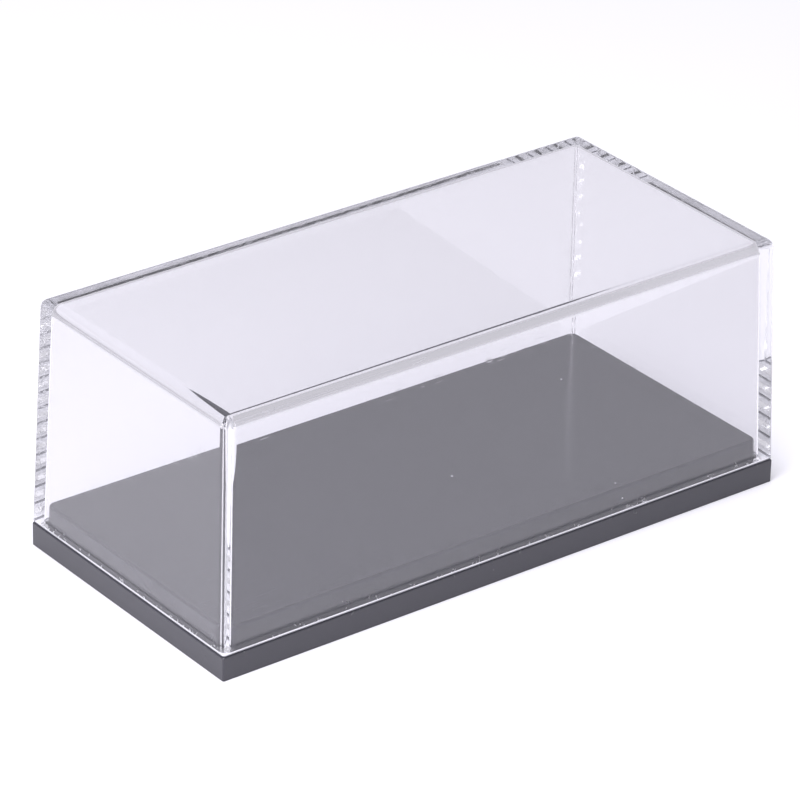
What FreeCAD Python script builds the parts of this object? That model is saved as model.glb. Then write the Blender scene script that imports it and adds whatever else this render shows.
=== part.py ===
import FreeCAD, Part
import os

import Sketcher

# Display case for a small model vehicle: a clear moulded cover that drops over the raised plinth of a
# black moulded base and stands on the base's rim.
#
# Frame: +X along the case, +Y across it, +Z up. The origin is the middle of the footprint, on the plane
# that the case stands on. Millimetres and degrees.
#
# Each piece is one injection moulding, and one body of this document:
#   base   rim plate, plinth, and a hollow underside stiffened by ribs
#   cover  four walls and a top panel, drafted, rounded inside and outside, open below

doc = FreeCAD.newDocument("display_case")

# ---------------------------------------------------------------------------- driving sizes

SIZES = (
    ("case_length", 97.0, "length of the rim, and of the cover at its foot"),
    ("case_width", 46.0, "width of the rim, and of the cover at its foot"),
    ("cover_height", 35.0, "from the rim to the top of the cover"),
    ("cover_wall", 1.8, "thickness of the cover's walls"),
    ("cover_top", 1.8, "thickness of the cover's top panel"),
    ("draft_angle", 1.8, "lean of the cover's walls and of the plinth that they slide over"),
    ("cover_top_radius", 1.2, "rounding of the cover's outer edges round its top"),
    ("cover_corner_radius", 0.5, "rounding of the cover's outer upright corners"),
    ("cover_foot_radius", 0.3, "rounding of the cover's outer edge at its foot"),
    ("cavity_edge_radius", 0.6, "rounding of the cover's inner edges"),
    ("lead_in", 0.5, "chamfer round the inside of the cover's foot"),
    ("fit_gap", 0.2, "running clearance between the cover and the plinth, each side"),
    ("rim_height", 3.6, "from the standing plane to the top of the rim"),
    ("rim_edge_radius", 0.25, "rounding of the rim's outer edges"),
    ("plinth_height", 3.4, "from the rim to the deck on which the model stands"),
    ("plinth_corner_radius", 1.2, "rounding of the plinth's upright corners"),
    ("plinth_edge_radius", 0.4, "rounding of the deck's edge"),
    ("skirt_wall", 2.0, "thickness of the base's outer walls, hollow side"),
    ("deck_thickness", 2.0, "thickness of the deck and of the rim over the hollow"),
    ("hollow_corner_radius", 1.5, "rounding of the hollow's upright corners"),
    ("rib_thickness", 1.2, "thickness of the stiffening ribs"),
    ("rib_setback", 0.8, "height of the ribs' lower edges above the standing plane"),
)
CROSS_RIBS = 3

sheet = doc.addObject("Spreadsheet::Sheet", "Sizes")
for row, (alias, value, meaning) in enumerate(SIZES, start=1):
    sheet.set(f"A{row}", alias)
    sheet.set(f"B{row}", str(value))
    sheet.set(f"C{row}", meaning)
    sheet.setAlias(f"B{row}", alias)
doc.recompute()

# Sizes that follow from the driving ones, as expressions.
PLINTH_INSET = "(Sizes.cover_wall + Sizes.fit_gap)"
PLINTH_LENGTH = f"(Sizes.case_length - 2 * {PLINTH_INSET})"
PLINTH_WIDTH = f"(Sizes.case_width - 2 * {PLINTH_INSET})"
SKIRT_INNER_LENGTH = "(Sizes.case_length - 2 * Sizes.skirt_wall)"
SKIRT_INNER_WIDTH = "(Sizes.case_width - 2 * Sizes.skirt_wall)"
HOLLOW_LENGTH = f"({PLINTH_LENGTH} - 2 * Sizes.skirt_wall)"
HOLLOW_WIDTH = f"({PLINTH_WIDTH} - 2 * Sizes.skirt_wall)"
HOLLOW_DEPTH = "(Sizes.rim_height + Sizes.plinth_height - Sizes.deck_thickness)"
UNDER_RIM_DEPTH = "(Sizes.rim_height - Sizes.deck_thickness)"
CAVITY_LENGTH = "(Sizes.case_length - 2 * Sizes.cover_wall)"
CAVITY_WIDTH = "(Sizes.case_width - 2 * Sizes.cover_wall)"
CAVITY_DEPTH = "(Sizes.cover_height - Sizes.cover_top)"
RIB_PITCH = f"({HOLLOW_LENGTH} / {CROSS_RIBS + 1})"

CLOSE = 1e-4                                # two places or volumes this near are the same
SKETCH_LENGTH, SKETCH_WIDTH = 18.0, 12.0    # a new outline, before its dimensions are tied to the sheet


# ---------------------------------------------------------------------------- helpers

def new_body(label):
    """A PartDesign body whose name and label are the piece's own name."""
    body = doc.addObject("PartDesign::Body", label)
    body.Label = label
    return body


def ground(body):
    """The body's own level plane at height 0."""
    return next(item for item in body.Origin.OriginFeatures if item.Role == "XY_Plane")


def level_sketch(body, name, height="0"):
    """An empty sketch lying level at a height, given as an expression."""
    sketch = body.newObject("Sketcher::SketchObject", name)
    sketch.AttachmentSupport = [(ground(body), "")]
    sketch.MapMode = "FlatFace"
    sketch.setExpression("AttachmentOffset.Base.z", height)
    return sketch


def drive(sketch, constraint, name, expression):
    """Names a dimension of the sketch and ties it to an expression."""
    index = sketch.addConstraint(constraint)
    sketch.renameConstraint(index, name)
    sketch.setExpression(f"Constraints.{name}", expression)


def rectangle(body, name, length, width, height="0"):
    """A level rectangle centred on the body's upright axis."""
    sketch = level_sketch(body, name, height)
    corners = [FreeCAD.Vector(x * SKETCH_LENGTH / 2, y * SKETCH_WIDTH / 2, 0)
               for x, y in ((-1, -1), (1, -1), (1, 1), (-1, 1))]
    for start, end in zip(corners, corners[1:] + corners[:1]):
        sketch.addGeometry(Part.LineSegment(start, end))
    for side in range(4):
        sketch.addConstraint(Sketcher.Constraint("Coincident", side, 2, (side + 1) % 4, 1))
        sketch.addConstraint(Sketcher.Constraint("Vertical" if side % 2 else "Horizontal", side))
    sketch.addConstraint(Sketcher.Constraint("Symmetric", 0, 1, 1, 2, -1, 1))
    drive(sketch, Sketcher.Constraint("DistanceX", 0, 1, 0, 2, SKETCH_LENGTH), "length", length)
    drive(sketch, Sketcher.Constraint("DistanceY", 1, 1, 1, 2, SKETCH_WIDTH), "width", width)
    doc.recompute()
    return sketch


def pad(body, name, sketch, height):
    """Raises a sketch upwards."""
    feature = body.newObject("PartDesign::Pad", name)
    feature.Profile = sketch
    feature.setExpression("Length", height)
    doc.recompute()
    return feature


def hollow(body, name, sketch, depth):
    """Cuts a sketch upwards into the solid over it, and makes sure that it cut something."""
    solid_before = body.Shape.Volume
    feature = body.newObject("PartDesign::Pocket", name)
    feature.Profile = sketch
    feature.Reversed = True
    feature.setExpression("Length", depth)
    doc.recompute()
    if body.Shape.Volume > solid_before - CLOSE:
        raise RuntimeError(f"{name} cut nothing")
    return feature


def lean(body, name, wanted, foot, is_cavity=False):
    """Leans the upright faces that the test called wanted picks in towards the body's axis.

    They turn about where they meet the foot plane. An outside loses material as it rises, and a
    cavity narrows, so the wall between the two keeps its thickness.
    """
    tip = body.Tip
    faces = [f"Face{n}" for n, face in enumerate(tip.Shape.Faces, start=1) if wanted(face)]
    feature = body.newObject("PartDesign::Draft", name)
    feature.Base = (tip, faces)
    feature.NeutralPlane = foot
    feature.Reversed = is_cavity
    feature.setExpression("Angle", "Sizes.draft_angle")
    doc.recompute()
    return feature


def dress(body, kind, name, wanted, size_name, size):
    """A Fillet or Chamfer on the edges of the body's tip that the test called wanted picks."""
    tip = body.Tip
    edges = [f"Edge{n}" for n, edge in enumerate(tip.Shape.Edges, start=1) if wanted(edge)]
    if not edges:
        raise RuntimeError(f"{name} found no edge")
    feature = body.newObject(f"PartDesign::{kind}", name)
    feature.Base = (tip, edges)
    feature.setExpression(size_name, size)
    doc.recompute()
    return feature


def is_level(shape, height):
    """Whether a face or an edge lies level at a height in the body's own frame."""
    return all(abs(vertex.Z - height) < CLOSE for vertex in shape.Vertexes)


def is_side(face):
    """Whether a face is flat and upright."""
    return isinstance(face.Surface, Part.Plane) and abs(face.normalAt(0, 0).z) < CLOSE


def level_face(feature, height):
    """A feature's level face at a height, in the form that a neutral plane takes."""
    number = next(n for n, face in enumerate(feature.Shape.Faces, start=1) if is_level(face, height))
    return (feature, [f"Face{number}"])


def is_above(shape, height):
    """Whether a face or an edge lies wholly at a height or over it."""
    return all(vertex.Z > height - CLOSE for vertex in shape.Vertexes)


def is_upright(edge):
    """Whether an edge joins two heights, as a drafted box's corners do, rounded at the top or not."""
    return abs(edge.Vertexes[0].Z - edge.Vertexes[-1].Z) > CLOSE


def reaches(edge, half_length):
    """Whether an edge comes as far out along the case as half_length, at either end."""
    return max(abs(vertex.X) for vertex in edge.Vertexes) > half_length


def size(alias):
    """A driving size, read from the sheet."""
    return float(sheet.get(alias))


# ---------------------------------------------------------------------------- base

def make_base():
    """The black moulding: rim plate, plinth, and the ribbed hollow underneath."""
    body = new_body("base")

    rim = rectangle(body, "rim_outline", "Sizes.case_length", "Sizes.case_width")
    pad(body, "rim", rim, "Sizes.rim_height")
    dress(body, "Fillet", "rim_corners", is_upright, "Radius", "Sizes.rim_edge_radius")
    dress(body, "Fillet", "rim_top_edge", lambda edge: is_level(edge, size("rim_height")),
          "Radius", "Sizes.rim_edge_radius")

    deck_level = size("rim_height") + size("plinth_height")
    plinth_outline = rectangle(body, "plinth_outline", PLINTH_LENGTH, PLINTH_WIDTH, "Sizes.rim_height")
    plinth = pad(body, "plinth", plinth_outline, "Sizes.plinth_height")
    lean(body, "plinth_draft", lambda face: is_side(face) and is_above(face, size("rim_height")),
         level_face(plinth, size("rim_height")))
    dress(body, "Fillet", "plinth_corners",
          lambda edge: is_upright(edge) and is_above(edge, size("rim_height")),
          "Radius", "Sizes.plinth_corner_radius")
    dress(body, "Fillet", "deck_edge", lambda edge: is_level(edge, deck_level),
          "Radius", "Sizes.plinth_edge_radius")

    under_rim = rectangle(body, "under_rim_outline", SKIRT_INNER_LENGTH, SKIRT_INNER_WIDTH)
    hollow(body, "under_rim", under_rim, UNDER_RIM_DEPTH)
    under_deck = rectangle(body, "under_deck_outline", HOLLOW_LENGTH, HOLLOW_WIDTH)
    hollow(body, "under_deck", under_deck, HOLLOW_DEPTH)
    dress(body, "Fillet", "hollow_corners", is_hollow_corner, "Radius", "Sizes.hollow_corner_radius")

    add_rib(body, "long_rib", along=True)
    repeat_both_ways(body, "cross_ribs", add_rib(body, "cross_rib", along=False))
    return body


def is_hollow_corner(edge):
    """Whether an edge is an upright corner of the hollow, which lies inside the skirt's walls."""
    skirt_inner_face = size("case_length") / 2 - size("skirt_wall")
    return is_upright(edge) and not reaches(edge, skirt_inner_face + CLOSE) and (
        max(vertex.Z for vertex in edge.Vertexes)
        < size("rim_height") + size("plinth_height") - size("deck_thickness") + CLOSE)


def add_rib(body, name, along):
    """A stiffening rib through the middle, along the case or across it.

    It has two steps, because the hollow reaches further out under the rim than inside the plinth.
    """
    steps = []
    for step, foot, top, length, width in (
            ("foot", "Sizes.rib_setback", UNDER_RIM_DEPTH, SKIRT_INNER_LENGTH, SKIRT_INNER_WIDTH),
            ("web", UNDER_RIM_DEPTH, HOLLOW_DEPTH, HOLLOW_LENGTH, HOLLOW_WIDTH)):
        sides = (length, "Sizes.rib_thickness") if along else ("Sizes.rib_thickness", width)
        outline = rectangle(body, f"{name}_{step}_outline", *sides, foot)
        steps.append(pad(body, f"{name}_{step}", outline, f"{top} - {foot}"))
    return steps


def repeat_both_ways(body, name, steps):
    """Repeats the middle cross rib's steps at one pitch, as many times on each side of it."""
    side_count = CROSS_RIBS // 2
    for reverse in (False, True):
        pattern = body.newObject("PartDesign::LinearPattern", f"{name}_{'back' if reverse else 'front'}")
        pattern.Originals = steps
        pattern.Direction = (steps[0].Profile[0], ["H_Axis"])
        pattern.Reversed = reverse
        pattern.Occurrences = side_count + 1
        pattern.setExpression("Length", f"{side_count} * {RIB_PITCH}")
        body.Tip = pattern
        doc.recompute()


# ---------------------------------------------------------------------------- cover

def make_cover():
    """The clear moulding, modelled with its foot at height 0 and then stood on the rim."""
    body = new_body("cover")

    outside = rectangle(body, "outside_outline", "Sizes.case_length", "Sizes.case_width")
    pad(body, "outside", outside, "Sizes.cover_height")
    lean(body, "outside_draft", is_side, (ground(body), [""]))
    dress(body, "Fillet", "outside_top_edges",
          lambda edge: is_level(edge, size("cover_height")), "Radius", "Sizes.cover_top_radius")
    dress(body, "Fillet", "outside_corners", is_upright, "Radius", "Sizes.cover_corner_radius")
    dress(body, "Fillet", "outside_foot_edge",
          lambda edge: is_level(edge, 0), "Radius", "Sizes.cover_foot_radius")

    cavity = rectangle(body, "cavity_outline", CAVITY_LENGTH, CAVITY_WIDTH)
    hollow(body, "cavity", cavity, CAVITY_DEPTH)
    lean(body, "cavity_draft", lambda face: is_side(face) and is_inside_walls(face),
         (ground(body), [""]), is_cavity=True)
    dress(body, "Fillet", "cavity_edges", is_cavity_edge, "Radius", "Sizes.cavity_edge_radius")
    dress(body, "Chamfer", "foot_lead_in", is_cavity_mouth, "Size", "Sizes.lead_in")

    body.setExpression("Placement.Base.z", "Sizes.rim_height")
    doc.recompute()
    return body


def is_inside_walls(shape):
    """Whether a face or an edge of the cover lies no further out than the cavity's outline."""
    half_length = size("case_length") / 2 - size("cover_wall")
    half_width = size("case_width") / 2 - size("cover_wall")
    return all(abs(vertex.X) < half_length + CLOSE and abs(vertex.Y) < half_width + CLOSE
               for vertex in shape.Vertexes)


def is_cavity_edge(edge):
    """Whether an edge is a corner or the ceiling's edge of the freshly cut cavity."""
    ceiling = size("cover_height") - size("cover_top")
    return (is_inside_walls(edge) and not is_level(edge, 0)
            and max(vertex.Z for vertex in edge.Vertexes) < ceiling + CLOSE)


def is_cavity_mouth(edge):
    """Whether an edge is part of the cavity's rim at the cover's foot."""
    return is_inside_walls(edge) and is_level(edge, 0)


# ---------------------------------------------------------------------------- build, test and write

def check_document():
    """Stops if any feature failed to rebuild."""
    for item in doc.Objects:
        if {"Invalid", "Error"} & set(item.State):
            raise RuntimeError(f"{item.Name} failed: {item.State}")


def check_piece(body):
    """Stops if a piece isn't one valid closed solid."""
    shape = body.Shape
    if shape.isNull() or not shape.isValid() or len(shape.Solids) != 1 or shape.Volume < CLOSE:
        raise RuntimeError(f"{body.Label} isn't one valid solid")


def check_fit(base, cover):
    """Stops if the seated cover cuts into the base or doesn't stand on its rim."""
    overlap = base.Shape.common(cover.Shape).Volume
    if overlap > CLOSE or base.Shape.distToShape(cover.Shape)[0] > CLOSE:
        raise RuntimeError("the cover doesn't seat on the base")


pieces = [make_base(), make_cover()]
doc.recompute()
check_document()
for piece in pieces:
    check_piece(piece)
check_fit(*pieces)

os.makedirs("parts", exist_ok=True)
for piece in pieces:
    piece.Shape.exportStep(f"parts/{piece.Label}.step")
    box = piece.Shape.BoundBox
    print(f"{piece.Label}: {box.XLength:.2f} x {box.YLength:.2f} x {box.ZLength:.2f} mm, "
          f"from {box.ZMin:.2f} to {box.ZMax:.2f}, {piece.Shape.Volume / 1000:.2f} cm3")
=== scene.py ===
"""Display case: a clear moulded cover that drops over the plinth of a black moulded base."""

import logging
import math
from collections.abc import Callable, Iterator
from contextlib import contextmanager
from dataclasses import dataclass
from enum import Enum

import bmesh
import bpy
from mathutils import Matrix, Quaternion, Vector


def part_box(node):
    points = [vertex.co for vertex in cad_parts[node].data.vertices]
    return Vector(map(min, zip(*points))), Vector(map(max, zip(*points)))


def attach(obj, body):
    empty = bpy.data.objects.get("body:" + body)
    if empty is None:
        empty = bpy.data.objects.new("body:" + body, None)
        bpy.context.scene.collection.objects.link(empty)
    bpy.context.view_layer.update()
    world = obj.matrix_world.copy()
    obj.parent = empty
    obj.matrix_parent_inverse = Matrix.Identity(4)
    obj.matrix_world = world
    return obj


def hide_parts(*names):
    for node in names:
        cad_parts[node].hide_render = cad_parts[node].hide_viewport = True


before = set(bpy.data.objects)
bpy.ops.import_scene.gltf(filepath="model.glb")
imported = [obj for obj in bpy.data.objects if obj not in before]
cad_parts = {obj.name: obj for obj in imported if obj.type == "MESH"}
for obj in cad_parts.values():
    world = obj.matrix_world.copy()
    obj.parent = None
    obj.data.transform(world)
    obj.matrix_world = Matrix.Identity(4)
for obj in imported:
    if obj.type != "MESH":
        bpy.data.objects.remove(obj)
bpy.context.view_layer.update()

LOG = logging.getLogger("display_case")
MM = 0.001
HAIR = 1e-6              # two places closer than this are the same place
WIDEST = 3 * MM          # the widest rounding that an edge can be marked for
WEIGHTS = "bevel_weight_edge"    # the edge attribute that the Bevel modifier reads


class Join(Enum):
    """How one solid changes another."""

    ADD = "UNION"
    CUT = "DIFFERENCE"


# ------------------------------------------------------------ mesh work

PlaceTest = Callable[[Vector], bool]
EdgeTest = Callable[[Vector, Vector], bool]
GroupEnds = tuple[bpy.types.NodeTree, bpy.types.Node | None, bpy.types.Node | None]


def deselect_all() -> None:
    """Leaves nothing selected, in object mode."""
    bpy.ops.object.select_all(action="DESELECT")


def pick(piece: bpy.types.Object) -> None:
    """Makes one object the only selected and the active one.

    Args:
        piece: the object to work on next.
    """
    deselect_all()
    piece.select_set(True)
    bpy.context.view_layer.objects.active = piece


def block(name: str, low: Vector, high: Vector) -> bpy.types.Object:
    """Adds a plain block between two corners, as the start of a piece.

    Args:
        name: the object's name.
        low: the block's lowest corner.
        high: its highest corner.

    Returns:
        The block, with its origin at the frame's origin.
    """
    deselect_all()
    bpy.ops.mesh.primitive_cube_add(size=1.0, location=(low + high) / 2)
    piece = bpy.context.object
    piece.name = piece.data.name = name
    piece.scale = high - low
    bpy.ops.object.transform_apply(location=True, rotation=True, scale=True)
    return piece


class Editor:
    """Edit mode on one object, with selections made by place."""

    def __init__(self, piece: bpy.types.Object) -> None:
        """Keeps the object to work on."""
        self.piece = piece

    def _mesh(self) -> bmesh.types.BMesh:
        """The mesh as edit mode holds it now, with nothing selected."""
        bpy.ops.mesh.select_all(action="DESELECT")
        return bmesh.from_edit_mesh(self.piece.data)

    def faces(self, wanted: PlaceTest) -> int:
        """Selects the faces whose corners all pass a test of place.

        Args:
            wanted: the test of a corner's place.

        Returns:
            How many faces are selected.
        """
        bpy.ops.mesh.select_mode(type="FACE")
        shape = self._mesh()
        for face in shape.faces:
            face.select_set(all(wanted(corner.co) for corner in face.verts))
        bmesh.update_edit_mesh(self.piece.data)
        return sum(face.select for face in shape.faces)

    def edges(self, wanted: EdgeTest) -> int:
        """Selects the edges whose two ends pass a test.

        Args:
            wanted: the test of the two ends' places.

        Returns:
            How many edges are selected.
        """
        bpy.ops.mesh.select_mode(type="EDGE")
        shape = self._mesh()
        for edge in shape.edges:
            edge.select_set(wanted(edge.verts[0].co, edge.verts[1].co))
        bmesh.update_edit_mesh(self.piece.data)
        return sum(edge.select for edge in shape.edges)

    def mark(self, wanted: EdgeTest, radius: float) -> None:
        """Marks edges to be rounded together later, each with its own radius.

        Args:
            wanted: the test of the two ends' places.
            radius: their radius, at most WIDEST.
        """
        self.edges(wanted)
        shape = bmesh.from_edit_mesh(self.piece.data)
        weights = shape.edges.layers.float.get(WEIGHTS) or shape.edges.layers.float.new(WEIGHTS)
        for edge in shape.edges:
            if edge.select:
                edge[weights] = radius / WIDEST
        bmesh.update_edit_mesh(self.piece.data)

    def draw_in(self, half_x: float, half_y: float, lean: float, height: float) -> None:
        """Draws the selected level rectangle in on all four sides.

        Args:
            half_x: half its length now.
            half_y: half its width now.
            lean: how far each side moves in.
            height: its height.
        """
        bpy.ops.transform.resize(value=(1 - lean / half_x, 1 - lean / half_y, 1.0),
                                 center_override=(0.0, 0.0, height))

    def push_in(self, border: float, rise: float) -> None:
        """Insets the selected face and moves the middle along Z.

        Args:
            border: how wide a border the inset leaves.
            rise: how far the middle moves up.
        """
        bpy.ops.mesh.inset(thickness=border, depth=0.0)
        bpy.ops.mesh.extrude_region_move(TRANSFORM_OT_translate={"value": (0.0, 0.0, rise)})

    def round_off(self, radius: float, segments: int) -> None:
        """Rounds the selected edges.

        Args:
            radius: the radius of the rounding.
            segments: how many facets it has.
        """
        bpy.ops.mesh.bevel(offset=radius, offset_type="OFFSET", segments=segments, profile=0.5,
                           affect="EDGES", clamp_overlap=False, miter_outer="SHARP")


@contextmanager
def editing(piece: bpy.types.Object) -> Iterator[Editor]:
    """Opens edit mode on an object and closes it again.

    Args:
        piece: the object to edit.

    Yields:
        The editor of its mesh.
    """
    pick(piece)
    bpy.ops.object.mode_set(mode="EDIT")
    yield Editor(piece)
    bpy.ops.object.mode_set(mode="OBJECT")


def round_marked(piece: bpy.types.Object, segments: int) -> None:
    """Rounds the edges that were marked, each by its own radius.

    Args:
        piece: the solid.
        segments: facets of each rounded edge.
    """
    pick(piece)
    bevel = piece.modifiers.new("round", "BEVEL")
    bevel.limit_method = "WEIGHT"
    bevel.width = WIDEST
    bevel.segments = segments
    bevel.use_clamp_overlap = False
    bpy.ops.object.modifier_apply(modifier=bevel.name)


def combine(piece: bpy.types.Object, tool: bpy.types.Object, how: Join) -> None:
    """Joins a tool solid to a piece, or cuts it out, and removes the tool.

    Args:
        piece: the solid that is kept.
        tool: the solid that changes it.
        how: whether the tool is added or cut out.
    """
    pick(piece)
    change = piece.modifiers.new("combine", "BOOLEAN")
    change.operation = how.value
    change.solver = "EXACT"
    change.object = tool
    bpy.ops.object.modifier_apply(modifier=change.name)
    bpy.data.objects.remove(tool)


def finish_surface(piece: bpy.types.Object, sharpest: float = math.radians(32)) -> None:
    """Smooths a piece's rounded edges and keeps its flat faces flat.

    Args:
        piece: the finished solid.
        sharpest: edges that turn by more than this stay crisp.
    """
    pick(piece)
    bpy.ops.object.shade_smooth_by_angle(angle=sharpest)
    weigh = piece.modifiers.new("weigh", "WEIGHTED_NORMAL")
    weigh.mode = "FACE_AREA"
    weigh.weight = 100
    weigh.keep_sharp = True
    bpy.ops.object.modifier_apply(modifier=weigh.name)


# ------------------------------------------------------------ shared surface effects

class Effects:
    """Shader node groups for marks that both mouldings carry, each built once."""

    SMALLEST_SPECK = 0.3             # of the size that a speck group is given
    SPECK_EDGE = (1.0, 0.6)          # a speck fades in between these shares of its reach
    SCRATCHED = 0.6                  # noise over this carries scratches
    HAZY = (0.45, 0.75)              # haze fades in between these values of its noise
    RUBBED = (0.70, 0.78)            # and rub marks between these
    DENSER = 0.12                    # what the middle of a rubbed band adds to the noise

    @staticmethod
    def _fade(wire: "Wiring", value: bpy.types.NodeSocket, limits: tuple[float, float],
              curve: str) -> bpy.types.NodeSocket:
        """Fades a mask in between two values.

        Args:
            wire: the group's wiring.
            value: the value that is read.
            limits: where the mask is 0 and where it is 1.
            curve: the kind of fade.

        Returns:
            The mask.
        """
        soft = wire.node("ShaderNodeMapRange", Value=value)
        soft.inputs["From Min"].default_value, soft.inputs["From Max"].default_value = limits
        soft.interpolation_type = curve
        return soft.outputs["Result"]

    @staticmethod
    def _group(name: str, inputs: dict[str, float | None], output: str) -> GroupEnds:
        """Starts a group, or finds it.

        Args:
            name: the group's name.
            inputs: its number inputs with their defaults, None for a vector.
            output: the name of its one number output.

        Returns:
            The group, its input node and its output node. The nodes are None if the group was
            there already.
        """
        if name in bpy.data.node_groups:
            return bpy.data.node_groups[name], None, None
        tree = bpy.data.node_groups.new(name, "ShaderNodeTree")
        for label, value in inputs.items():
            kind = "NodeSocketVector" if value is None else "NodeSocketFloat"
            socket = tree.interface.new_socket(label, in_out="INPUT", socket_type=kind)
            if value is not None:
                socket.default_value = value
        tree.interface.new_socket(output, in_out="OUTPUT", socket_type="NodeSocketFloat")
        return tree, tree.nodes.new("NodeGroupInput"), tree.nodes.new("NodeGroupOutput")

    @classmethod
    def dust(cls) -> bpy.types.NodeTree:
        """Scattered specks: one in some of the cells of a random lattice.

        Returns:
            The group.
        """
        tree, start, end = cls._group(
            "dust specks", {"Vector": None, "Spacing": 0.003, "Size": 0.04, "Share": 0.4}, "Mask")
        if start is None:
            return tree
        wire = Wiring(tree)
        scale = wire.maths("DIVIDE", 1.0, start.outputs["Spacing"])
        cells = wire.node("ShaderNodeTexVoronoi", Vector=start.outputs["Vector"], Scale=scale)
        parts = wire.node("ShaderNodeSeparateColor", Color=cells.outputs["Color"])
        taken = wire.maths("LESS_THAN", parts.outputs["Red"], start.outputs["Share"])
        share_of_size = wire.maths("ADD", parts.outputs["Green"], cls.SMALLEST_SPECK)
        reach = wire.maths("MULTIPLY", share_of_size, start.outputs["Size"])
        inside = wire.maths("DIVIDE", cells.outputs["Distance"], reach)
        speck = cls._fade(wire, inside, cls.SPECK_EDGE, "LINEAR")
        wire.join(wire.maths("MULTIPLY", speck, taken), end.inputs["Mask"])
        return tree

    @classmethod
    def hairlines(cls) -> bpy.types.NodeTree:
        """Fine scratches that run one way: a stretched noise cut to thin lines.

        Returns:
            The group.
        """
        tree, start, end = cls._group(
            "hairline scratches",
            {"Vector": None, "Pitch": 0.002, "Stretch": 30.0, "Thinness": 0.02}, "Mask")
        if start is None:
            return tree
        wire = Wiring(tree)
        short = wire.maths("DIVIDE", 1.0, start.outputs["Pitch"])
        long = wire.maths("DIVIDE", short, start.outputs["Stretch"])
        scale = wire.node("ShaderNodeCombineXYZ", X=long, Y=short, Z=short)
        place = wire.node("ShaderNodeVectorMath")
        place.operation = "MULTIPLY"
        wire.join(start.outputs["Vector"], place.inputs[0])
        wire.join(scale.outputs["Vector"], place.inputs[1])
        noise = wire.node("ShaderNodeTexNoise", Vector=place.outputs["Vector"])
        noise.inputs["Scale"].default_value = 1.0
        noise.inputs["Detail"].default_value = 2.0
        away = wire.maths("ABSOLUTE", wire.maths("SUBTRACT", noise.outputs["Fac"], 0.5))
        near = wire.maths("SUBTRACT", 1.0, wire.maths("DIVIDE", away, start.outputs["Thinness"]))
        line = wire.maths("MAXIMUM", near, 0.0)
        gaps = wire.node("ShaderNodeTexNoise", Vector=start.outputs["Vector"], Scale=short)
        gaps.inputs["Detail"].default_value = 0.0
        there = wire.maths("GREATER_THAN", gaps.outputs["Fac"], cls.SCRATCHED)
        wire.join(wire.maths("MULTIPLY", line, there), end.inputs["Mask"])
        return tree

    @classmethod
    def haze(cls) -> bpy.types.NodeTree:
        """Broad soft patches, as handling leaves on a glossy surface.

        Returns:
            The group.
        """
        tree, start, end = cls._group("handling haze", {"Vector": None, "Patch": 0.02}, "Value")
        if start is None:
            return tree
        wire = Wiring(tree)
        scale = wire.maths("DIVIDE", 1.0, start.outputs["Patch"])
        noise = wire.node("ShaderNodeTexNoise", Vector=start.outputs["Vector"], Scale=scale)
        noise.inputs["Detail"].default_value = 5.0
        noise.inputs["Roughness"].default_value = 0.55
        hazy = cls._fade(wire, noise.outputs["Fac"], cls.HAZY, "SMOOTHSTEP")
        wire.join(hazy, end.inputs["Value"])
        return tree

    @classmethod
    def rubs(cls) -> bpy.types.NodeTree:
        """Short rub marks in a band round one height, densest in the middle of the band.

        Returns:
            The group.
        """
        tree, start, end = cls._group(
            "rub marks", {"Vector": None, "Size": 0.002, "Height": 0.0, "Reach": 0.001}, "Mask")
        if start is None:
            return tree
        wire = Wiring(tree)
        height = wire.node("ShaderNodeSeparateXYZ", Vector=start.outputs["Vector"]).outputs["Z"]
        away = wire.maths("ABSOLUTE", wire.maths("SUBTRACT", height, start.outputs["Height"]))
        band = wire.maths("SUBTRACT", 1.0, wire.maths("DIVIDE", away, start.outputs["Reach"]))
        scale = wire.maths("DIVIDE", 1.0, start.outputs["Size"])
        noise = wire.node("ShaderNodeTexNoise", Vector=start.outputs["Vector"], Scale=scale)
        noise.inputs["Detail"].default_value = 3.0
        noise.inputs["Distortion"].default_value = 1.5
        dense = wire.maths("ADD", noise.outputs["Fac"], wire.maths("MULTIPLY", band, cls.DENSER))
        mark = cls._fade(wire, dense, cls.RUBBED, "SMOOTHSTEP")
        inside = wire.maths("GREATER_THAN", band, 0.0)
        wire.join(wire.maths("MULTIPLY", mark, inside), end.inputs["Mask"])
        return tree


Value = float | bpy.types.NodeSocket
Colour = tuple[float, float, float]


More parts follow.
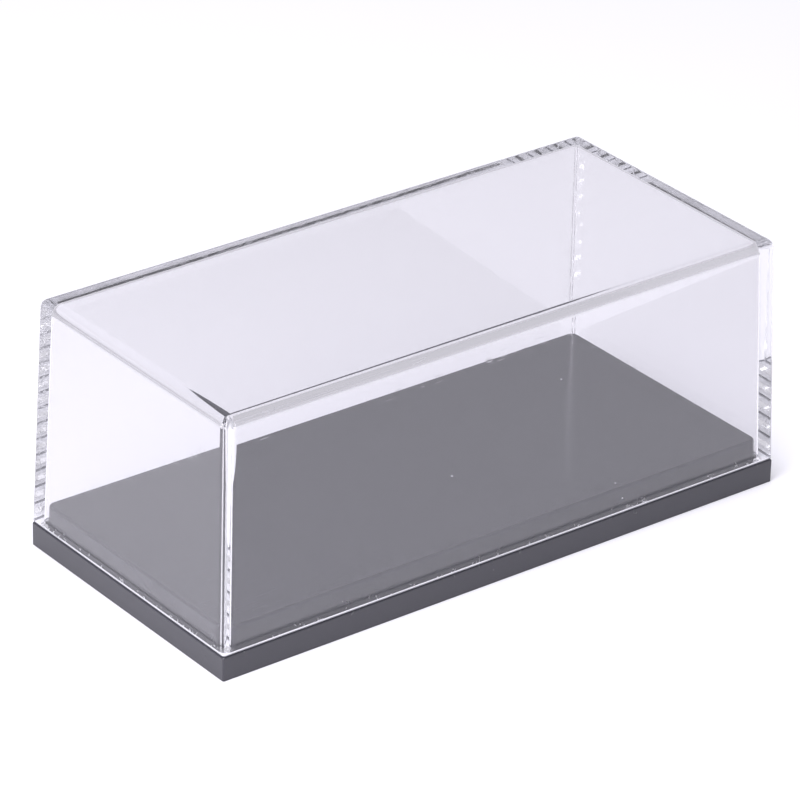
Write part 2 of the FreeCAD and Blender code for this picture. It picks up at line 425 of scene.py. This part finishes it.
class Wiring:
    """Short ways to place and link nodes in one tree."""

    def __init__(self, tree: bpy.types.NodeTree) -> None:
        """Keeps the tree."""
        self.tree = tree

    def join(self, source: Value, target: bpy.types.NodeSocket) -> None:
        """Feeds a socket from another, or sets it to a number.

        Args:
            source: an output socket or a number.
            target: the input socket.
        """
        if isinstance(source, bpy.types.NodeSocket):
            self.tree.links.new(source, target)
        else:
            target.default_value = source

    def node(self, kind: str, **inputs: Value) -> bpy.types.Node:
        """Adds a node and feeds its inputs by name.

        Args:
            kind: the node's type.
            inputs: what feeds it.

        Returns:
            The node.
        """
        made = self.tree.nodes.new(kind)
        for name, source in inputs.items():
            self.join(source, made.inputs[name])
        return made

    def group(self, tree: bpy.types.NodeTree, **inputs: Value) -> bpy.types.NodeSocket:
        """Places a node group.

        Args:
            tree: the group.
            inputs: its inputs by name.

        Returns:
            Its one output.
        """
        made = self.tree.nodes.new("ShaderNodeGroup")
        made.node_tree = tree
        for name, source in inputs.items():
            self.join(source, made.inputs[name])
        return made.outputs[0]

    def maths(self, operation: str, first: Value, second: Value = 0.0) -> bpy.types.NodeSocket:
        """Adds a Math node.

        Args:
            operation: what it does.
            first: its first input.
            second: its second input.

        Returns:
            Its result.
        """
        made = self.tree.nodes.new("ShaderNodeMath")
        made.operation = operation
        self.join(first, made.inputs[0])
        self.join(second, made.inputs[1])
        return made.outputs[0]

    def blend(self, share: Value, first: Colour, second: Colour) -> bpy.types.NodeSocket:
        """Blends two colours.

        Args:
            share: how much there is of the second one.
            first: the colour where the share is 0.
            second: the colour where it is 1.

        Returns:
            The blended colour.
        """
        mix = self.tree.nodes.new("ShaderNodeMix")
        mix.data_type = "RGBA"
        mix.inputs[6].default_value = (*first, 1.0)
        mix.inputs[7].default_value = (*second, 1.0)
        self.join(share, mix.inputs[0])
        return mix.outputs[2]


@dataclass(frozen=True)
class Moulding:
    """What the finishes of both mouldings share.

    Attributes:
        name: the material's name.
        ior: the plastic's refractive index.
        roughness: how rough the clean polished surface is.
        haze_roughness: how much rougher it is where it has been handled.
        scratch_depth: how deep the hairline scratches look, in metres.
        rub_roughness: how rough the rub marks are.
        rub_height: height of the joint at which the mouldings rub.
        rub_reach: how far the rub marks reach from that height.
    """

    name: str
    ior: float
    roughness: float
    haze_roughness: float
    scratch_depth: float
    rub_roughness: float
    rub_height: float
    rub_reach: float

    def start(self) -> tuple[bpy.types.Material, Wiring, bpy.types.Node, bpy.types.NodeSocket]:
        """Makes the material with what both finishes have.

        Returns:
            The material, its wiring, its Principled shader and the Object coordinates.
        """
        material = bpy.data.materials.new(self.name)
        material.use_nodes = True
        wire = Wiring(material.node_tree)
        shader = material.node_tree.nodes["Principled BSDF"]
        shader.inputs["IOR"].default_value = self.ior
        place = wire.node("ShaderNodeTexCoord").outputs["Object"]
        return material, wire, shader, place

    def worn_roughness(self, wire: Wiring, place: bpy.types.NodeSocket,
                       patch: float) -> bpy.types.NodeSocket:
        """The roughness with handling haze and rub marks.

        Args:
            wire: the material's wiring.
            place: the Object coordinates.
            patch: size of the haze's patches.

        Returns:
            The roughness.
        """
        haze = wire.group(Effects.haze(), Vector=place, Patch=patch)
        hazy = wire.maths("ADD", wire.maths("MULTIPLY", haze, self.haze_roughness), self.roughness)
        rubs = wire.group(Effects.rubs(), Vector=place, Size=0.0018, Height=self.rub_height,
                          Reach=self.rub_reach)
        return wire.maths("MAXIMUM", hazy, wire.maths("MULTIPLY", rubs, self.rub_roughness))


@dataclass(frozen=True)
class ClearPlastic(Moulding):
    """Water-clear plastic, faintly lilac, that lets lamps light what stands inside.

    Attributes:
        tint: the colour that light takes on in the plastic.
        lamp_tint: the colour that light passing straight through takes on.
    """

    tint: Colour
    lamp_tint: Colour

    def material(self) -> bpy.types.Material:
        """Builds the material.

        Returns:
            The clear plastic.
        """
        material, wire, shader, place = self.start()
        shader.inputs["Base Color"].default_value = (*self.tint, 1.0)
        shader.inputs["Transmission Weight"].default_value = 1.0
        wire.join(self.worn_roughness(wire, place, 0.025), shader.inputs["Roughness"])
        lines = wire.group(Effects.hairlines(), Vector=place, Pitch=0.0015, Stretch=25.0,
                           Thinness=0.012)
        bump = wire.node("ShaderNodeBump", Height=lines, Distance=self.scratch_depth)
        bump.inputs["Strength"].default_value = 0.4
        wire.join(bump.outputs["Normal"], shader.inputs["Normal"])
        self._open_to_lamps(wire, shader)
        return material

    def _open_to_lamps(self, wire: Wiring, shader: bpy.types.Node) -> None:
        """Lets lamp light and bounced light pass straight through, dimmed as two skins dim it.

        Args:
            wire: the material's wiring.
            shader: its Principled shader.
        """
        path = wire.node("ShaderNodeLightPath")
        straight = wire.node("ShaderNodeBsdfTransparent")
        straight.inputs["Color"].default_value = (*self.lamp_tint, 1.0)
        surface = shader.outputs["BSDF"]
        for kind in ("Is Diffuse Ray", "Is Shadow Ray"):
            mix = wire.node("ShaderNodeMixShader", Fac=path.outputs[kind])
            wire.join(surface, mix.inputs[1])
            wire.join(straight.outputs["BSDF"], mix.inputs[2])
            surface = mix.outputs["Shader"]
        wire.join(surface, wire.tree.nodes["Material Output"].inputs["Surface"])


@dataclass(frozen=True)
class MattFoot(Moulding):
    """The foot of the clear moulding, matt where its mould closed on it.

    Attributes:
        colour: the colour of the matt skin.
        wear_and_shade_colour: its colour on the foot's outer edge, where it is painted shade along
            the joint, and in the foot's handling haze.
        edge_height: height over the joint at which that edge starts.
        passing: how much of the light passes through it.
    """

    colour: Colour
    wear_and_shade_colour: Colour
    edge_height: float
    passing: float

    def material(self) -> bpy.types.Material:
        """Builds the material.

        Returns:
            The matt foot.
        """
        material, wire, shader, place = self.start()
        shader.inputs["Transmission Weight"].default_value = self.passing
        height = wire.node("ShaderNodeSeparateXYZ", Vector=place).outputs["Z"]
        # Painted shade: above edge_height the foot's outer rounding takes the dark colour, standing
        # in for the shade along the joint with the rim; handling haze blends a little of the same
        # colour in.
        edge = wire.maths("GREATER_THAN", height, self.rub_height + self.edge_height)
        haze = wire.maths("MULTIPLY", wire.group(Effects.haze(), Vector=place, Patch=0.006), 0.4)
        worn = wire.maths("MAXIMUM", edge, haze)
        wire.join(wire.blend(worn, self.colour, self.wear_and_shade_colour), shader.inputs["Base Color"])
        wire.join(self.worn_roughness(wire, place, 0.006), shader.inputs["Roughness"])
        lines = wire.group(Effects.hairlines(), Vector=place, Pitch=0.0008, Stretch=8.0,
                           Thinness=0.03)
        bump = wire.node("ShaderNodeBump", Height=lines, Distance=self.scratch_depth)
        wire.join(bump.outputs["Normal"], shader.inputs["Normal"])
        return material


@dataclass(frozen=True)
class BlackPlastic(Moulding):
    """Glossy black plastic with a little dust.

    Attributes:
        colour: the plastic's colour.
        dust_colour: the dust's colour.
    """

    colour: Colour
    dust_colour: Colour

    def material(self) -> bpy.types.Material:
        """Builds the material.

        Returns:
            The black plastic.
        """
        material, wire, shader, place = self.start()
        dust = wire.group(Effects.dust(), Vector=place, Spacing=0.0035, Size=0.05, Share=0.3)
        wire.join(wire.blend(dust, self.colour, self.dust_colour), shader.inputs["Base Color"])
        worn = self.worn_roughness(wire, place, 0.03)
        dusty = wire.maths("MULTIPLY", dust, 0.8)
        wire.join(wire.maths("MAXIMUM", worn, dusty), shader.inputs["Roughness"])
        lines = wire.group(Effects.hairlines(), Vector=place, Pitch=0.0012, Stretch=30.0,
                           Thinness=0.015)
        bump = wire.node("ShaderNodeBump", Height=lines, Distance=self.scratch_depth)
        bump.inputs["Strength"].default_value = 0.5
        wire.join(bump.outputs["Normal"], shader.inputs["Normal"])
        return material


# ------------------------------------------------------------ the clear cover

@dataclass
class Cover:
    """The clear five-sided moulding.

    Attributes:
        low: lowest corner of its box.
        high: highest corner of its box.
        wall: thickness of its walls.
        draft: the lean of its walls, in radians.
        top: thickness of its top panel.
        upright_radius: rounding of its outer upright corners.
        edge_radius: rounding of its outer edges round the top.
        corner_radius: rounding of the cavity's upright corners.
        cavity_radius: rounding of the cavity's ceiling edges.
        lead_in: chamfer round the inside of its foot.
        foot_break: rounding of the outside of its foot.
        air_gap: the air left under its foot, where it stands on the rim.
        facets: facets of each rounded edge.
    """

    low: Vector
    high: Vector
    wall: float = 1.8 * MM
    draft: float = math.radians(1.8)
    top: float = 1.8 * MM
    upright_radius: float = 0.5 * MM
    edge_radius: float = 1.2 * MM
    corner_radius: float = 0.6 * MM
    cavity_radius: float = 0.6 * MM
    lead_in: float = 0.5 * MM
    foot_break: float = 0.3 * MM
    air_gap: float = 0.02 * MM
    facets: int = 12

    def lean(self, height: float) -> float:
        """How far the walls have leaned in at a height above the frame's ground."""
        return (height - self.low.z) * math.tan(self.draft)

    def build(self) -> bpy.types.Object:
        """Makes the shell: a rounded solid with a rounded core cut out of it.

        Returns:
            The cover.
        """
        shell = self._outside()
        combine(shell, self._core(), Join.CUT)
        finish_surface(shell)
        return shell

    def _outside(self) -> bpy.types.Object:
        """Makes the outer skin as a solid.

        Returns:
            The solid.
        """
        foot = self.low.z + self.air_gap
        solid = block("clear_cover", Vector((self.low.x, self.low.y, foot)), self.high)
        with editing(solid) as edit:
            edit.faces(lambda corner: corner.z > foot + HAIR)
            edit.draw_in(self.high.x, self.high.y, self.lean(self.high.z), self.high.z)
            edit.mark(lambda a, b: min(a.z, b.z) > self.high.z - HAIR, self.edge_radius)
            edit.mark(lambda a, b: abs(a.z - b.z) > HAIR, self.upright_radius)
            edit.mark(lambda a, b: max(a.z, b.z) < foot + HAIR, self.foot_break)
        round_marked(solid, self.facets)
        return solid

    def _core(self) -> bpy.types.Object:
        """Makes the core that leaves the cavity, flared where it meets the foot.

        Returns:
            The core, which reaches a little below the foot.
        """
        half_x, half_y = self.high.x - self.wall, self.high.y - self.wall
        start, ceiling = self.low.z + self.lead_in, self.high.z - self.top
        flare = 1.5 * self.lead_in
        core = block("core", Vector((-half_x, -half_y, start)), Vector((half_x, half_y, ceiling)))
        with editing(core) as edit:
            edit.faces(lambda corner: corner.z > start + HAIR)
            edit.draw_in(half_x, half_y, self.lean(ceiling), ceiling)
            edit.mark(lambda a, b: min(a.z, b.z) > ceiling - HAIR, self.cavity_radius)
            edit.mark(lambda a, b: abs(a.z - b.z) > HAIR, self.corner_radius)
        round_marked(core, self.facets)
        with editing(core) as edit:
            edit.faces(lambda corner: corner.z < start + HAIR)
            bpy.ops.mesh.extrude_region_move(TRANSFORM_OT_translate={"value": (0.0, 0.0, -flare)})
            edit.draw_in(half_x, half_y, -flare, start - flare)
        return core

    def dress(self, piece: bpy.types.Object, finish: ClearPlastic, foot: MattFoot) -> None:
        """Gives the cover its finishes, ties it to its body and hides the CAD part that it stands
        in for.

        Args:
            piece: the cover.
            finish: the finish of its walls and top.
            foot: the finish of its foot.
        """
        piece.data.materials.append(finish.material())
        piece.data.materials.append(foot.material())
        with editing(piece) as edit:
            edit.faces(lambda corner: corner.z < self.low.z + self.foot_break + self.air_gap + HAIR)
            piece.active_material_index = 1
            bpy.ops.object.material_slot_assign()
        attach(piece, "cover")
        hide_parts("cover")


# ------------------------------------------------------------ the black base

@dataclass
class Base:
    """The black moulding: rim, plinth, and a hollow underside with ribs.

    Attributes:
        low: lowest corner of its box.
        high: highest corner of its box.
        rim_top: height of the rim on which the cover stands.
        plinth_inset: how far the plinth stands in from the rim's outline.
        draft: lean of the plinth's sides.
        rim_radius: rounding of the rim's edges.
        corner_radius: rounding of the plinth's upright corners.
        deck_radius: rounding of the deck's edge.
        skirt: thickness of the walls round the hollow.
        deck: thickness of the deck and of the rim over the hollow.
        hollow_radius: rounding of the hollow's upright corners.
        rib: thickness of the ribs.
        rib_foot: height of the ribs' lower edges.
        cross_ribs: how many ribs run across.
        sunk: how far the ribs' ends and tops reach into the walls and the deck.
        corner_facets: facets of the plinth's upright corners.
        deck_facets: facets of the deck's edge.
        rim_facets: facets of the rim's edges.
        hollow_facets: facets of the hollow's upright corners.
    """

    low: Vector
    high: Vector
    rim_top: float
    plinth_inset: float = 2.0 * MM
    draft: float = math.radians(1.8)
    rim_radius: float = 0.25 * MM
    corner_radius: float = 1.2 * MM
    deck_radius: float = 0.4 * MM
    skirt: float = 2.0 * MM
    deck: float = 2.0 * MM
    hollow_radius: float = 1.5 * MM
    rib: float = 1.2 * MM
    rib_foot: float = 0.8 * MM
    cross_ribs: int = 3
    sunk: float = 0.3 * MM
    corner_facets: int = 8
    deck_facets: int = 5
    rim_facets: int = 4
    hollow_facets: int = 6

    def build(self) -> bpy.types.Object:
        """Makes the base from a block the size of the rim.

        Returns:
            The base.
        """
        piece = block("black_base", self.low, Vector((self.high.x, self.high.y, self.rim_top)))
        self._raise_plinth(piece)
        self._hollow_underside(piece)
        self._add_ribs(piece)
        finish_surface(piece)
        return piece

    def _raise_plinth(self, piece: bpy.types.Object) -> None:
        """Raises the plinth from the rim's top and rounds both.

        Args:
            piece: the rim as a block.
        """
        rise = self.high.z - self.rim_top
        half_x, half_y = self.high.x - self.plinth_inset, self.high.y - self.plinth_inset
        lean = rise * math.tan(self.draft)

        def on_plinth(corner: Vector) -> bool:
            """Whether a corner belongs to the plinth."""
            return abs(corner.x) < half_x + HAIR and abs(corner.y) < half_y + HAIR

        with editing(piece) as edit:
            edit.faces(lambda corner: corner.z > self.rim_top - HAIR)
            edit.push_in(self.plinth_inset, rise)
            edit.draw_in(half_x, half_y, lean, self.high.z)
            edit.edges(lambda a, b: on_plinth(a) and on_plinth(b) and abs(a.z - b.z) > HAIR
                       and min(a.z, b.z) > self.rim_top - HAIR)
            edit.round_off(self.corner_radius, self.corner_facets)
            edit.edges(lambda a, b: min(a.z, b.z) > self.high.z - HAIR)
            edit.round_off(self.deck_radius, self.deck_facets)
            edit.edges(lambda a, b: not on_plinth(a) and not on_plinth(b)
                       and max(a.z, b.z) > self.low.z + HAIR)
            edit.round_off(self.rim_radius, self.rim_facets)

    def _hollow_underside(self, piece: bpy.types.Object) -> None:
        """Cuts the stepped hollow, so that the walls have an even thickness.

        Args:
            piece: the base with its plinth.
        """
        for inset, ceiling in ((self.skirt, self.rim_top - self.deck),
                               (self.skirt + self.plinth_inset, self.high.z - self.deck)):
            core = block("core",
                         Vector((inset - self.high.x, inset - self.high.y, self.low.z - MM)),
                         Vector((self.high.x - inset, self.high.y - inset, ceiling)))
            with editing(core) as edit:
                edit.edges(lambda a, b: abs(a.z - b.z) > HAIR)
                edit.round_off(self.hollow_radius, self.hollow_facets)
            combine(piece, core, Join.CUT)

    def _add_ribs(self, piece: bpy.types.Object) -> None:
        """Adds one rib along the middle and evenly spaced ribs across.

        Args:
            piece: the hollow base.
        """
        pitch = 2 * (self.high.x - self.plinth_inset - self.skirt) / (self.cross_ribs + 1)
        under_rim, under_deck = self.rim_top - self.deck, self.high.z - self.deck
        for foot, ceiling, inset in ((self.rib_foot, under_rim, self.skirt),
                                     (under_rim, under_deck, self.skirt + self.plinth_inset)):
            reach_x, reach_y = self.high.x - inset + self.sunk, self.high.y - inset + self.sunk
            half = self.rib / 2
            top = ceiling + self.sunk
            combine(piece, block("rib", Vector((-reach_x, -half, foot)),
                                 Vector((reach_x, half, top))), Join.ADD)
            for number in range(self.cross_ribs):
                middle = (number - (self.cross_ribs - 1) / 2) * pitch
                combine(piece, block("rib", Vector((middle - half, -reach_y, foot)),
                                     Vector((middle + half, reach_y, top))), Join.ADD)

    def dress(self, piece: bpy.types.Object, finish: BlackPlastic) -> None:
        """Gives the base its finish, ties it to its body and hides the CAD part that it stands in
        for.

        Args:
            piece: the base.
            finish: its finish.
        """
        piece.data.materials.append(finish.material())
        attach(piece, "base")
        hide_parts("base")


# ------------------------------------------------------------ studio

@dataclass(frozen=True)
class Lamp:
    """A square soft lamp.

    Attributes:
        name: its name.
        place: where it hangs.
        target: what it points at.
        side: the length of its sides.
        power: its power in watts.
    """

    name: str
    place: tuple[float, float, float]
    target: tuple[float, float, float]
    side: float
    power: float


@dataclass
class Studio:
    """Plain pale floor, soft light and the camera.

    Attributes:
        floor_half: half the floor's side.
        floor_drop: how far the floor lies under the case, so that the two don't share a plane.
        floor_shade: the floor's lightness.
        sky: brightness of the room around.
        sky_colour: the light's colour, a little towards lilac.
        eye: the camera's place.
        gaze: the camera's direction.
        roll: the camera's turn about its own axis.
        lens: focal length in millimetres.
        sensor: the sensor's width in millimetres.
        bounces: how often light may bounce, enough for what runs along inside a clear wall.
        lamps: the lamps.
    """

    floor_half: float = 4.0
    floor_drop: float = 0.05 * MM
    floor_shade: float = 0.9
    sky: float = 0.68
    sky_colour: Colour = (1.0, 0.985, 1.07)
    eye: Vector = Vector((-0.37011, -0.47196, 0.33187))
    gaze: Vector = Vector((0.54509, 0.69842, -0.46377))
    roll: float = math.radians(1.32)
    lens: float = 217.0
    sensor: float = 36.0
    bounces: int = 96
    lamps: tuple[Lamp, ...] = (
        Lamp("overhead", place=(-0.15, -0.2, 0.8), target=(0.0, 0.0, 0.0), side=0.8, power=3.4),
        Lamp("left", place=(-0.27, -0.08, 0.2), target=(-0.1, 0.0, 0.0), side=0.2, power=0.8),
    )

    def build(self) -> None:
        """Builds the whole studio."""
        self._floor()
        self._room()
        for lamp in self.lamps:
            self._hang(lamp)
        self._camera()
        scene = bpy.context.scene
        scene.view_settings.view_transform = "Standard"
        for kind in ("max_bounces", "transmission_bounces", "glossy_bounces"):
            setattr(scene.cycles, kind, self.bounces)

    def _floor(self) -> None:
        """Lays the floor, which can be looked through from below."""
        deselect_all()
        bpy.ops.mesh.primitive_plane_add(size=2 * self.floor_half,
                                         location=(0.0, 0.0, -self.floor_drop))
        floor = bpy.context.object
        floor.name = "floor"
        bpy.ops.object.transform_apply(location=True)
        material = bpy.data.materials.new("pale floor")
        material.use_nodes = True
        wire = Wiring(material.node_tree)
        shader = material.node_tree.nodes["Principled BSDF"]
        shader.inputs["Base Color"].default_value = (self.floor_shade,) * 3 + (1.0,)
        shader.inputs["Roughness"].default_value = 1.0
        shader.inputs["Specular IOR Level"].default_value = 0.0
        facing = wire.node("ShaderNodeNewGeometry").outputs["Backfacing"]
        mix = wire.node("ShaderNodeMixShader", Fac=facing)
        wire.join(shader.outputs["BSDF"], mix.inputs[1])
        wire.join(wire.node("ShaderNodeBsdfTransparent").outputs["BSDF"], mix.inputs[2])
        surface = material.node_tree.nodes["Material Output"].inputs["Surface"]
        wire.join(mix.outputs["Shader"], surface)
        floor.data.materials.append(material)

    def _room(self) -> None:
        """Surrounds the case with an evenly white room."""
        world = bpy.data.worlds.new("white room")
        world.use_nodes = True
        background = world.node_tree.nodes["Background"]
        background.inputs["Color"].default_value = (*self.sky_colour, 1.0)
        background.inputs["Strength"].default_value = self.sky
        bpy.context.scene.world = world

    def _hang(self, lamp: Lamp) -> None:
        """Hangs a lamp.

        Args:
            lamp: the lamp.
        """
        data = bpy.data.lights.new(lamp.name, "AREA")
        data.shape = "SQUARE"
        data.size = lamp.side
        data.energy = lamp.power
        data.color = self.sky_colour
        light = bpy.data.objects.new(lamp.name, data)
        light.location = lamp.place
        light.rotation_mode = "QUATERNION"
        towards = Vector(lamp.target) - Vector(lamp.place)
        light.rotation_quaternion = towards.to_track_quat("-Z", "Y")
        bpy.context.scene.collection.objects.link(light)

    def _camera(self) -> None:
        """Sets up the camera."""
        data = bpy.data.cameras.new("camera")
        data.lens = self.lens
        data.sensor_width = self.sensor
        data.clip_start, data.clip_end = 0.01, 50.0
        camera = bpy.data.objects.new("camera", data)
        camera.location = self.eye
        camera.rotation_mode = "QUATERNION"
        level = self.gaze.to_track_quat("-Z", "Y")
        camera.rotation_quaternion = level @ Quaternion((0.0, 0.0, 1.0), self.roll)
        bpy.context.scene.collection.objects.link(camera)
        bpy.context.scene.camera = camera


def main() -> None:
    """Builds the studio and both mouldings, and reports them."""
    logging.basicConfig(level=logging.INFO, format="%(name)s: %(message)s")
    base_low, base_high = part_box("base")
    cover_low, cover_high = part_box("cover")
    Studio().build()

    joint = cover_low.z
    base = Base(base_low, base_high, rim_top=joint)
    black = BlackPlastic(
        name="black gloss plastic", ior=1.57, roughness=0.1, haze_roughness=0.08,
        scratch_depth=0.002 * MM, rub_roughness=0.35, rub_height=joint, rub_reach=1.0 * MM,
        colour=(0.034, 0.033, 0.042), dust_colour=(0.6, 0.6, 0.62))
    black_base = base.build()
    base.dress(black_base, black)
    LOG.info("%s has %d faces", black_base.name, len(black_base.data.polygons))

    cover = Cover(cover_low, cover_high)
    clear = ClearPlastic(
        name="clear plastic", ior=1.57, roughness=0.0, haze_roughness=0.02,
        scratch_depth=0.002 * MM, rub_roughness=0.55, rub_height=joint, rub_reach=1.6 * MM,
        tint=(0.905, 0.90, 0.915), lamp_tint=(0.95, 0.95, 0.96))
    # The foot's dark second colour is painted shade along its outer edge, where it meets the rim,
    # and it also tints the foot's handling haze.
    foot = MattFoot(
        name="matt clear plastic", ior=1.57, roughness=0.4, haze_roughness=0.2,
        scratch_depth=0.02 * MM, rub_roughness=0.7, rub_height=joint, rub_reach=1.6 * MM,
        colour=(0.90, 0.90, 0.92), wear_and_shade_colour=(0.22, 0.22, 0.24), edge_height=0.04 * MM,
        passing=0.1)
    clear_cover = cover.build()
    cover.dress(clear_cover, clear, foot)
    LOG.info("%s has %d faces", clear_cover.name, len(clear_cover.data.polygons))


if __name__ == "__main__":
    main()
